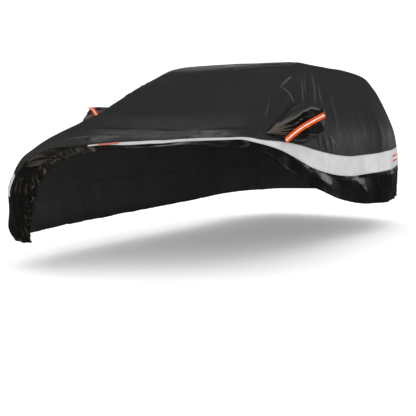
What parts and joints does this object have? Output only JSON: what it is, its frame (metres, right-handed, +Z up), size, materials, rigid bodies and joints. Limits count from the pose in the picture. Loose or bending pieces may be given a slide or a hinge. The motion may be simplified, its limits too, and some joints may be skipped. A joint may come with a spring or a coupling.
{
  "type": "car cover",
  "caption": "Fitted hatchback car cover in charcoal and gloss black cloth, with mirror pockets, silver side bands and orange tapes, its front left corner lifted.",
  "frame": {"origin": "under the middle of the roof, on the cloth's inner face, where what wears the cover holds it up", "axes": "+X to the cover's left, +Y from its nose to its tail, +Z up"},
  "size_m": [2.0759, 4.3027, 1.3597],
  "materials": {
    "charcoal": "matte coated cloth",
    "gloss_black": "glossy crinkled film cloth",
    "silver": "satin reflective cloth",
    "orange_tape": "orange tape with a white middle line"
  },
  "bodies": {
    "root": {"centre_panel": "charcoal", "side_panel_left": "charcoal", "side_panel_right": "charcoal", "band_left": "silver", "band_right": "silver", "skirt_left": "gloss_black", "skirt_right": "gloss_black", "front_panel": "gloss_black", "rear_panel": "gloss_black", "mirror_pocket_left": "gloss_black", "mirror_pocket_right": "gloss_black", "pocket_strip_left": "orange_tape", "pocket_strip_right": "orange_tape", "band_mark_front_left": "orange_tape", "band_mark_rear_left": "orange_tape", "band_mark_front_right": "orange_tape", "band_mark_rear_right": "orange_tape"}
  },
  "joints": []
}
